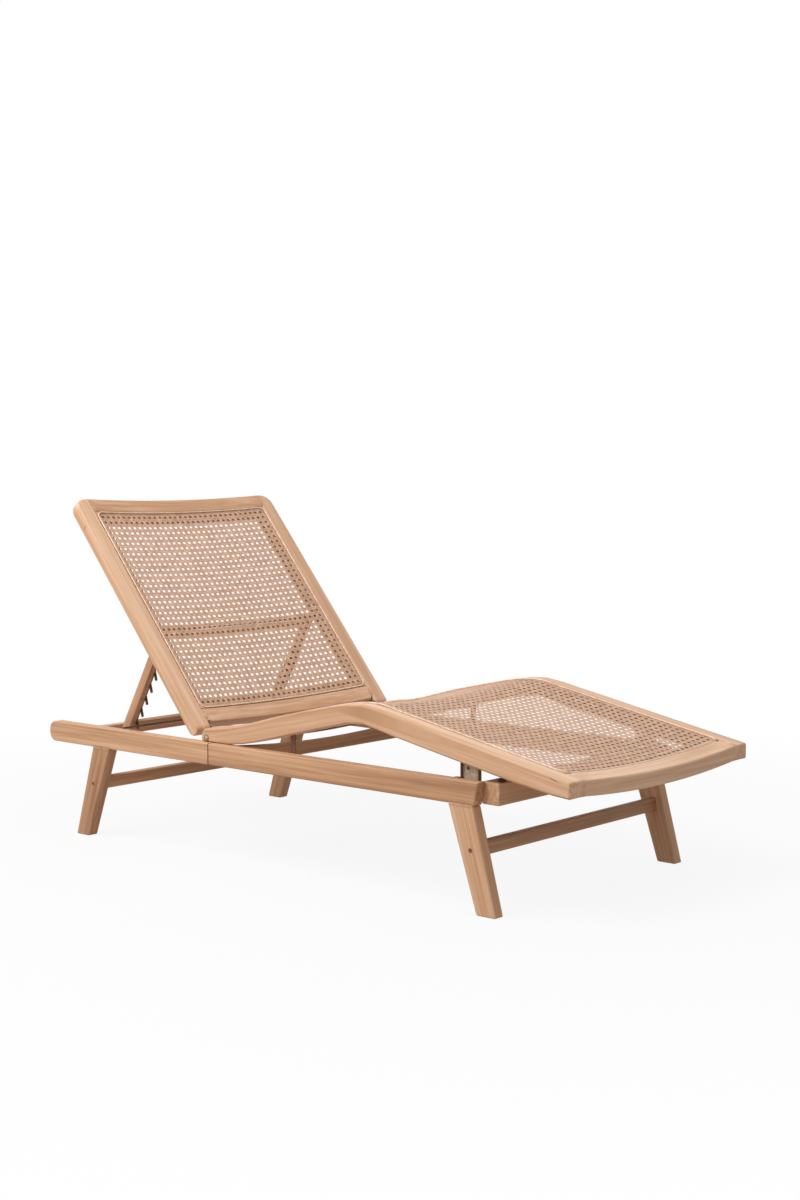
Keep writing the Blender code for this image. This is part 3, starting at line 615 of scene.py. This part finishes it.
def bead(name, surface, length, body, node):
    half = OPENING - BEAD_RADIUS - BEAD_CLEAR
    corners = ((half, BEAD_INSET, -90), (half, length - BEAD_INSET, 0), (-half, length - BEAD_INSET, 90),
               (-half, BEAD_INSET, 180))
    path = []
    for index, (x, along, start) in enumerate(corners):
        centre = (x - math.copysign(BEAD_TURN, x), along + (BEAD_TURN if along < 0.1 else -BEAD_TURN))
        for angle in quarter(start, 6):
            path.append((centre[0] + BEAD_TURN * math.cos(angle), centre[1] + BEAD_TURN * math.sin(angle)))
        nx, na, ns = corners[(index + 1) % 4]
        goal = (nx - math.copysign(BEAD_TURN, nx) + BEAD_TURN * math.cos(math.radians(ns)),
                na + (BEAD_TURN if na < 0.1 else -BEAD_TURN) + BEAD_TURN * math.sin(math.radians(ns)))
        steps = max(2, round(math.dist(path[-1], goal) / BEAD_STEP))
        start_point = path[-1]
        path += [(start_point[0] + (goal[0] - start_point[0]) * k / steps,
                  start_point[1] + (goal[1] - start_point[1]) * k / steps) for k in range(1, steps)]
    curve = bpy.data.curves.new(name, "CURVE")
    curve.dimensions = "3D"
    curve.bevel_depth = BEAD_RADIUS
    curve.bevel_resolution = 2
    spline = curve.splines.new("POLY")
    spline.points.add(len(path) - 1)
    for point, (x, along) in zip(spline.points, path):
        place, normal = surface(x, along)
        point.co = (*(place - normal * (RECESS - BEAD_RADIUS)), 1.0)
    spline.use_cyclic_u = True
    curve.materials.append(spline_cane)
    loop = placed(name, curve)
    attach(loop, body)
    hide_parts(node)


bead("back_spline", back_surface, BACK_LENGTH, "backrest", "back_bead")
bead("seat_spline", seat_surface, seat_length, "base", "seat_bead")

# %% [markdown]
# Each frame is rabbeted: a ledge runs round the opening just under the cane, which is pressed down on it.
# From above the ledge shows through the outermost row of holes. It is a ring of four-sided sections that
# follows the panel's surface, rounded at the corners like the spline.

# %% Ledges under the cane
LEDGE_WIDTH = 0.022
SILL_WIDTH = 0.030
LEDGE_DROP = 0.0022
BACK_LEDGE_DEPTH = 0.027
SEAT_LEDGE_DEPTH = 0.030
LEDGE_STEP = 0.014


def loop_points(half, start, end, turn):
    """A rounded rectangle as points with the outward direction at each."""
    points = []
    for cx, cy, first in ((half - turn, start + turn, -90), (half - turn, end - turn, 0),
                          (turn - half, end - turn, 90), (turn - half, start + turn, 180)):
        for angle in quarter(first, 6):
            points.append((cx, cy, math.cos(angle), math.sin(angle)))
    full = []
    for index, (cx, cy, ox, oy) in enumerate(points):
        nx, ny = points[(index + 1) % len(points)][:2]
        full.append((cx, cy, ox, oy))
        gap = math.dist((cx, cy), (nx, ny))
        for k in range(1, max(1, round(gap / LEDGE_STEP))):
            share = k / round(gap / LEDGE_STEP)
            full.append((cx + (nx - cx) * share, cy + (ny - cy) * share, ox, oy))
    return full


def ledge(name, surface, length, depth, body, material):
    ring = loop_points(OPENING - BEAD_CLEAR, 0.0, length, BEAD_TURN)
    bm = bmesh.new()
    rows = []
    for cx, cy, ox, oy in ring:
        row = []
        for inward, drop in ((0, 0), (LEDGE_WIDTH, 0), (LEDGE_WIDTH, depth), (0, depth)):
            reach = BEAD_TURN - inward
            along = max(cy + oy * reach, SILL_WIDTH if inward else 0.0)
            place, normal = surface(cx + ox * reach, along)
            row.append(bm.verts.new(place - normal * (RECESS + LEDGE_DROP + drop)))
        rows.append(row)
    skin(bm, rows, around=True, capped=False)
    finished(name, bm, body, material, smooth=False)


# The ledges' wood is darkened as painted shade: the shade of the narrow gap under the cane.
back_ledge_wood = wood("back_ledge_wood", UP_BACK, 61, -0.35)
seat_ledge_wood = wood("seat_ledge_wood", ALONG_RAIL, 62, -0.35)
ledge("back_ledge", back_surface, BACK_LENGTH, BACK_LEDGE_DEPTH, "backrest", back_ledge_wood)
ledge("seat_ledge", seat_surface, seat_length, SEAT_LEDGE_DEPTH, "base", seat_ledge_wood)

# %% [markdown]
# The opening has round corners, where the rails meet the stiles. A small web of wood fills each one up to
# the spline, level with the frame.

# %% Corner webs
WEB_DEPTH = 0.004


def corner_webs(name, surface, length, body, material):
    bm = bmesh.new()
    for side in (-1, 1):
        for start, centre_along in ((-90, BEAD_TURN), (0, length - BEAD_TURN)):
            rows = []
            for angle in quarter(start, 8):
                cx, cy = math.cos(angle), math.sin(angle)
                square = 1 / max(abs(cx), abs(cy))
                row = []
                for stretch, drop in ((1.0, 0.0), (square, 0.0), (square, WEB_DEPTH), (1.0, WEB_DEPTH)):
                    x = side * (OPENING - BEAD_TURN + BEAD_TURN * cx * stretch)
                    place, normal = surface(x, centre_along + BEAD_TURN * cy * stretch)
                    row.append(bm.verts.new(place - normal * drop))
                rows.append(row)
            skin(bm, rows)
    bmesh.ops.remove_doubles(bm, verts=bm.verts, dist=0.00001)
    bmesh.ops.dissolve_degenerate(bm, edges=bm.edges, dist=0.00001)
    finished(name, bm, body, material)


corner_webs("back_corner_webs", back_surface, BACK_LENGTH, "backrest", wood("back_web_wood", ACROSS, 63))
corner_webs("seat_corner_webs", seat_surface, seat_length, "base", wood("seat_web_wood", ACROSS, 64, 0.06))

# %% [markdown]
# The seat's front rail keeps a crisp edge toward the cane, so no groove shows between the two. A lip of the
# rail's own wood, level with its top, fills the rounded edge up to the spline.

# %% Front lip
LIP_REACH = 0.0064
LIP_STEPS = 24


def front_lip(name, surface, body, material):
    bm = bmesh.new()
    rows = []
    for step in range(LIP_STEPS + 1):
        x = (OPENING - BEAD_TURN) * (2 * step / LIP_STEPS - 1)
        row = []
        for along, drop in ((-LIP_REACH, 0.0), (0.0, 0.0), (0.0, WEB_DEPTH), (-LIP_REACH, WEB_DEPTH)):
            place, normal = surface(x, along)
            row.append(bm.verts.new(place - normal * drop))
        rows.append(row)
    skin(bm, rows)
    finished(name, bm, body, material)


front_lip("seat_front_lip", seat_surface, "base", bpy.data.materials["seat_front_rail_wood"])

# %% [markdown]
# The corner joints of both frames are glued and sanded flush, so no groove shows where a rail meets its
# stile. A short bridge with the rail's own section closes the seam that two rounded boards leave.

# %% Flush joints
BRIDGE_REACH = 0.0068
JOINT_ROUND = 0.005


def rounded_section(low, high, bottom, top, turn):
    """A rounded rectangle in (along, height)."""
    points = []
    for cx, cy, first in ((high - turn, bottom + turn, -90), (high - turn, top - turn, 0),
                          (low + turn, top - turn, 90), (low + turn, bottom + turn, 180)):
        for angle in quarter(first, 3):
            points.append((cx + turn * math.cos(angle), cy + turn * math.sin(angle)))
    return points


def bridge(name, section, lay, body, material):
    bm = bmesh.new()
    for side in (-1, 1):
        rings = []
        for step in range(5):
            x = side * (OPENING + BRIDGE_REACH * (step / 2 - 1))
            rings.append([bm.verts.new(lay(x, along, height)) for along, height in section])
        skin(bm, rings)
    finished(name, bm, body, material)


def lay_back(x, along, height):
    place = hinge + up_back * along + out_back * (height - SCOOP_BACK * across(x))
    return Vector((x, place.y, place.z))


def lay_seat(x, along, height):
    return Vector((x, along, seat_top(along) - SCOOP_SEAT * across(x) + height))


FLUSH = 0.00005
BACK_TOP_JOINT = rounded_section(0.6965, 0.7415 + FLUSH, -HALF_BACK, HALF_BACK + FLUSH, JOINT_ROUND)
BACK_BOTTOM_JOINT = rounded_section(0.0135, 0.0495, -HALF_BACK, HALF_BACK + FLUSH, JOINT_ROUND)
SEAT_FRONT_JOINT = rounded_section(-0.870 - FLUSH, -0.822, -0.0385, FLUSH, JOINT_ROUND)
bridge("back_top_joints", BACK_TOP_JOINT, lay_back, "backrest",
       wood("back_top_joint_wood", ACROSS, 71, -0.04))
bridge("back_bottom_joints", BACK_BOTTOM_JOINT, lay_back, "backrest",
       wood("back_bottom_joint_wood", ACROSS, 72, 0.08))
bridge("seat_front_joints", SEAT_FRONT_JOINT, lay_seat, "base",
       wood("seat_front_joint_wood", ACROSS, 73, 0.08))
print("joints closed")

# %% [markdown]
# The rails rest on the legs in a halved joint, dressed flush on the outside. A collar closes the groove
# that the two rounded edges leave. It follows the leg's lean and its rounded corners.

# %% Collars at the leg tops
COLLAR_REACH = 0.0042
RAIL_BOTTOM = 0.245
OUTER_FACE = 0.3835
COLLAR_DEPTH = 0.0075
LEG_ROUND = 0.0035
LEG_CHAMFER = 0.001
LEG_TOP = 0.2413
LEG_FOOT = 0.0034
TOP_BAND = (0.2405, 0.2420)
FOOT_BAND = (0.0030, 0.0040)


def leg_edges(node, height):
    """A leg's front and rear edge at a height, on the straight lines through its unrounded part."""
    points = [v.co for v in frame["nodes"][node].data.vertices]
    top = [p.y for p in points if TOP_BAND[0] < p.z < TOP_BAND[1]]
    foot = [p.y for p in points if FOOT_BAND[0] < p.z < FOOT_BAND[1]]
    share = (height - LEG_FOOT) / (LEG_TOP - LEG_FOOT)
    return [a + (b - a) * share for a, b in ((min(foot), min(top)), (max(foot), max(top)))]


def collar(node, material):
    side = math.copysign(1, frame["nodes"][node].data.vertices[0].co.x)
    bm = bmesh.new()
    rings = []
    for height in (RAIL_BOTTOM - COLLAR_REACH, RAIL_BOTTOM, RAIL_BOTTOM + COLLAR_REACH):
        front, rear = leg_edges(node, height)
        outline = ((front, COLLAR_DEPTH), (front, LEG_ROUND), (front + LEG_CHAMFER, LEG_CHAMFER),
                   (front + LEG_ROUND, 0.0), (rear - LEG_ROUND, 0.0), (rear - LEG_CHAMFER, LEG_CHAMFER),
                   (rear, LEG_ROUND), (rear, COLLAR_DEPTH))
        rings.append([bm.verts.new((side * (OUTER_FACE - depth), y, height)) for y, depth in outline])
    skin(bm, rings)
    finished(node.replace("leg", "leg_collar"), bm, "base", material)


for seed, node in enumerate(("leg_front_right", "leg_front_left", "leg_rear_right", "leg_rear_left")):
    # The rear collars are darkened with their legs as painted shade. The front ones keep a small tone shift.
    collar_tone_and_shade = -0.14 if "rear" in node else -0.04
    collar(node, wood(node + "_collar_wood", leg_direction(node), 80 + seed, collar_tone_and_shade))

# %% [markdown]
# Each leg is screwed to its stretcher through a counterbored hole. The screw's head lies just inside a
# dark brown ring, so the hole shows as a brown ring with a grey middle.

# %% Leg screws
DARK_RING_RADIUS = 0.0060
HEAD_RADIUS = 0.0036
DARK_RING_PROFILE = ((HEAD_RADIUS, -0.0030), (HEAD_RADIUS, 0.0002), (HEAD_RADIUS + 0.0008, 0.0008),
                  (DARK_RING_RADIUS - 0.0004, 0.0005), (DARK_RING_RADIUS, 0.0), (DARK_RING_RADIUS, -0.0002))
HEAD_PROFILE = ((HEAD_RADIUS, -0.0040), (HEAD_RADIUS, -0.0008), (HEAD_RADIUS * 0.6, -0.0002),
                (HEAD_RADIUS * 0.42, -0.0002), (HEAD_RADIUS * 0.38, -0.0016))


def turned(bm, centre, axis, profile, sides=20):
    """A profile of (radius, height) pairs turned round an axis through a point."""
    turn = Vector((0, 0, 1)).rotation_difference(Vector(axis)).to_matrix()
    rings = []
    for radius, height in profile:
        rings.append([bm.verts.new(Vector(centre) + turn @ Vector((
            radius * math.cos(math.tau * k / sides), radius * math.sin(math.tau * k / sides), height)))
            for k in range(sides)])
    skin(bm, rings)


def leg_screw(node):
    low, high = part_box(node)
    side = math.copysign(1, low.x + high.x)
    centre = (side * OUTER_FACE, (low.y + high.y) / 2, (low.z + high.z) / 2)
    # A dark brown ring around the screw's head, drawn as a thin turned disc.
    dark_ring = bmesh.new()
    turned(dark_ring, centre, (side, 0, 0), DARK_RING_PROFILE)
    finished(node.replace("plug", "leg_washer"), dark_ring, "base", bronzed, replaced=node)
    head = bmesh.new()
    turned(head, centre, (side, 0, 0), HEAD_PROFILE)
    finished(node.replace("plug", "leg_screw"), head, "base", weathered, replaced=node)


for node in ("plug_front_right", "plug_front_left", "plug_rear_right", "plug_rear_left"):
    leg_screw(node)

# %% [markdown]
# The seat stands on the rails with sheet-steel brackets. The front ones are folded at both edges, so dark
# flanges frame a paler web with a screw in it. The rear ones are plain dark straps. Small rubber domes on
# the front rail keep the seat from knocking on it.

# %% Brackets, straps and pads
RAIL_TOP = 0.3004
FLANGE_REACH = 0.0075
FLANGE_THICK = 0.0022
FLANGE_INSET = 0.006
FLANGE_DROP = 0.001
BRACKET_FRONT_TOP = 0.3267
SCREW_SETBACK = 0.036
SCREW_HEIGHT = 0.3235
SCREW_PROFILE = ((0.0040, 0.0), (0.0040, 0.0010), (0.0028, 0.0022), (0.0010, 0.0026))
TAB_BEHIND = 0.004
TAB_AHEAD = 0.010
TAB_THICK = 0.0016
TAB_REACH = 0.012
STRAP_FRONT = -0.0390
STRAP_REAR = -0.0225
STRAP_SLANT = 0.0035
PAD_PLACE = (0.327, -0.655)
PAD_SUNK = 0.0004
PAD_PROFILE = ((0.0095, 0.0), (0.0095, 0.0030), (0.0082, 0.0058), (0.0048, 0.0074), (0.0012, 0.0079))
STILE_FACE = 0.3686


def prism(bm, corners, low_x, high_x):
    """A plate between two x, its outline given as (y, z)."""
    skin(bm, [[bm.verts.new((x, y, z)) for y, z in corners] for x in (low_x, high_x)])


def bracket(node):
    low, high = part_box(node)
    side = math.copysign(1, low.x + high.x)
    inner, outer = (low.x, high.x) if side > 0 else (high.x, low.x)
    slope = (high.z - BRACKET_FRONT_TOP) / (high.y - low.y)

    def top(y):
        return BRACKET_FRONT_TOP + slope * (y - low.y)

    web = bmesh.new()
    prism(web, ((low.y, low.z), (high.y, low.z), (high.y, top(high.y)), (low.y, top(low.y))), inner, outer)
    finished(node + "_web", web, "base", weathered, replaced=node)
    flanges = bmesh.new()
    for edge, back in ((low.y, 1), (high.y - FLANGE_INSET, -1)):
        other = edge + back * FLANGE_THICK
        corners = ((edge, RAIL_TOP), (other, RAIL_TOP), (other, top(other) - FLANGE_DROP),
                   (edge, top(edge) - FLANGE_DROP))
        prism(flanges, corners, outer, outer + side * FLANGE_REACH)
    turned(flanges, (outer, low.y + SCREW_SETBACK, SCREW_HEIGHT), (side, 0, 0), SCREW_PROFILE, 14)
    finished(node + "_flanges", flanges, "base", coated, replaced=node)
    foot = bmesh.new()
    rear, front, tab_top = high.y - TAB_BEHIND, high.y + TAB_AHEAD, RAIL_TOP + TAB_THICK
    prism(foot, ((rear, RAIL_TOP), (front, RAIL_TOP), (front, tab_top), (rear, tab_top)), outer,
          outer + side * TAB_REACH)
    finished(node + "_foot", foot, "base", stainless, replaced=node)


def strap(node):
    low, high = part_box(node)
    plate = bmesh.new()
    corners = ((STRAP_FRONT, low.z), (STRAP_REAR, low.z), (STRAP_REAR, high.z - STRAP_SLANT),
               (STRAP_FRONT, high.z))
    prism(plate, corners, low.x, high.x)
    finished(node + "_plate", plate, "base", coated, replaced=node)


def pad(node):
    low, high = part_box(node)
    side = math.copysign(1, low.x + high.x)
    dome = bmesh.new()
    turned(dome, (side * PAD_PLACE[0], PAD_PLACE[1], low.z - PAD_SUNK), (0, 0, 1), PAD_PROFILE, 24)
    finished(node + "_dome", dome, "base", pad_rubber, replaced=node)


def bolt_washer(node):
    """The brown washer that shows round a hinge bolt's head."""
    low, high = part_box(node)
    side = math.copysign(1, low.x + high.x)
    reach = (high.y - low.y) / 2
    ring = bmesh.new()
    turned(ring, (side * STILE_FACE, (low.y + high.y) / 2, (low.z + high.z) / 2), (side, 0, 0),
           ((reach + 0.0026, 0.0), (reach + 0.0026, 0.0005), (reach + 0.0018, 0.0010), (reach, 0.0010)))
    finished(node + "_washer", ring, "base", bronzed)


for hand in ("right", "left"):
    bolt_washer("hinge_bolt_" + hand)
    bracket("seat_bracket_" + hand)
    strap("seat_strap_" + hand)
    pad("bumper_" + hand)

# %% [markdown]
# Small dark lines: a darker glue line where each side rail's two lengths meet, a short dark line
# along the near seat stile's edge, and a small dark dash on the near backrest stile.

# %% Glue lines and marks
SEAM_RINGS = (0.2393, 0.2407)
SEAM_INNER = 0.3535
SEAM_OUTER = OUTER_FACE + 0.00004
SEAM_TOP = 0.30004
SEAM_ROUND = 0.004
DARK_LINE_PATH = ((-0.3650, -0.8000, 0.3350), (-0.3674, -0.8090, 0.3325), (-0.3682, -0.8200, 0.3294),
               (-0.3684, -0.8330, 0.3250), (-0.3684, -0.8450, 0.3208))
DASH_PATH = ((-0.3685, 0.7234, 0.8385), (-0.3685, 0.7264, 0.8327), (-0.3685, 0.7294, 0.8268))
glue = mottled("glue_line", (104, 66, 42), (150, 104, 72), 120.0, 3.0, roughness=0.8, specular_ior_level=0.1)

seam = bmesh.new()
for side in (-1, 1):
    outline = rounded_section(SEAM_INNER, SEAM_OUTER, RAIL_BOTTOM, SEAM_TOP, SEAM_ROUND)
    skin(seam, [[seam.verts.new((side * x, y, z)) for x, z in outline] for y in SEAM_RINGS])
finished("rail_glue_lines", seam, "base", glue)


def mark(name, path, width, body):
    """A thin spindle along a path, half sunk in the wood."""
    bm = bmesh.new()
    rings = []
    for index, point in enumerate(path):
        share = index / (len(path) - 1)
        radius = width / 2 * max(0.15, math.sin(math.pi * share))
        ahead = Vector(path[min(index + 1, len(path) - 1)])
        run = (ahead - Vector(path[max(index - 1, 0)])).normalized()
        side = run.cross(Vector((1, 0, 0))).normalized()
        other = run.cross(side)
        rings.append([bm.verts.new(Vector(point) + radius * (side * math.cos(math.tau * k / 6)
                                                             + other * math.sin(math.tau * k / 6)))
                      for k in range(6)])
    skin(bm, rings)
    finished(name, bm, body, glue)


# A short dark line along the near seat stile's edge, drawn as a thin dark spindle.
mark("stile_groove", DARK_LINE_PATH, 0.0018, "base")
mark("stile_dash", DASH_PATH, 0.0024, "backrest")
print("details made")

# %% [markdown]
# A white studio: the floor and the world are white to the camera. The light on the lounger comes from a wide
# lamp high on the left, with a weak one at the front and another above the foot end. Light that the floor
# throws back up is a little warm.

# %% Studio
WORLD_LIGHT = 0.40
KEY_WATTS = 158.0
FILL_WATTS = 10.0
TOP_WATTS = 13.0
FLOOR_WHITE = 0.90
SHADOW_REACH = 0.9
SHADOW_FADE = 0.6
FLOOR_SIZE = 12.0
FLOOR_DROP = 0.0005
FLOOR_WARM = (0.48, 0.38, 0.30, 1)
FLOOR_GREY = (0.60, 0.60, 0.60, 1)
LAMPS = (("key", (-2.4, 0.7, 3.6), (0, 0, 0.3), 2.5, KEY_WATTS),
         ("fill", (-3.0, -3.2, 1.8), (0, 0, 0.3), 3.0, FILL_WATTS),
         ("top", (0.2, -1.3, 3.2), (0, -0.6, 0.3), 2.0, TOP_WATTS))


def white_to_camera(tree, lit, share=1.0):
    """Mixes a lit shader with plain white for what the camera, gloss and glass see."""
    path = tree.nodes.new("ShaderNodeLightPath")
    seen = Socket(tree, path.outputs["Is Camera Ray"])
    for ray in ("Is Glossy Ray", "Is Transmission Ray"):
        seen = seen.math("MAXIMUM", Socket(tree, path.outputs[ray]))
    white = tree.nodes.new("ShaderNodeEmission")
    mix = tree.nodes.new("ShaderNodeMixShader")
    tree.links.new((seen * share).output, mix.inputs[0])
    tree.links.new(lit, mix.inputs[1])
    tree.links.new(white.outputs[0], mix.inputs[2])
    return mix.outputs[0]


world = bpy.data.worlds.new("studio")
world.use_nodes = True
bpy.context.scene.world = world
sky = world.node_tree.nodes["Background"]
sky.inputs[0].default_value = (1, 1, 1, 1)
sky.inputs[1].default_value = WORLD_LIGHT
world_out = world.node_tree.nodes["World Output"]
world.node_tree.links.new(white_to_camera(world.node_tree, sky.outputs[0]), world_out.inputs[0])

floor_mesh = bpy.data.meshes.new("floor")
floor_bm = bmesh.new()
bmesh.ops.create_grid(floor_bm, x_segments=1, y_segments=1, size=FLOOR_SIZE)
floor_bm.to_mesh(floor_mesh)
floor_bm.free()
floor = placed("floor", floor_mesh)
floor.location.z = -FLOOR_DROP
ground = bpy.data.materials.new("floor")
ground.use_nodes = True
ground_tree = ground.node_tree
ground_shader = ground_tree.nodes["Principled BSDF"]
ground_seen = Socket(ground_tree, ground_tree.nodes.new("ShaderNodeLightPath").outputs["Is Camera Ray"])
ground_tone = ground_tree.nodes.new("ShaderNodeMix")
ground_tone.data_type = "RGBA"
ground_tree.links.new(ground_seen.output, ground_tone.inputs[0])
ground_tone.inputs[6].default_value = FLOOR_WARM
ground_tone.inputs[7].default_value = FLOOR_GREY
ground_tree.links.new(ground_tone.outputs[2], ground_shader.inputs["Base Color"])
ground_shader.inputs["Roughness"].default_value = 0.9
ground_place = ground_tree.nodes.new("ShaderNodeTexCoord")
ground_reach = ground_tree.nodes.new("ShaderNodeVectorMath")
ground_reach.operation = "LENGTH"
ground_tree.links.new(ground_place.outputs["Object"], ground_reach.inputs[0])
reach = Socket(ground_tree, ground_reach.outputs["Value"])
fade = ((reach - SHADOW_REACH) * SHADOW_FADE).math("MAXIMUM", 0.0).math("MINIMUM", 1.0)
whiteness = fade * (1 - FLOOR_WHITE)
floor_out = white_to_camera(ground_tree, ground_shader.outputs[0], whiteness + FLOOR_WHITE)
ground_tree.links.new(floor_out, ground_tree.nodes["Material Output"].inputs[0])
floor_mesh.materials.append(ground)


def lamp(name, place, target, size, watts):
    light = bpy.data.lights.new(name, "AREA")
    light.size = size
    light.energy = watts
    made = placed(name, light)
    made.location = place
    made.rotation_euler = (Vector(target) - Vector(place)).to_track_quat("-Z", "Y").to_euler()


for settings in LAMPS:
    lamp(*settings)
bpy.context.scene.view_settings.view_transform = "Standard"
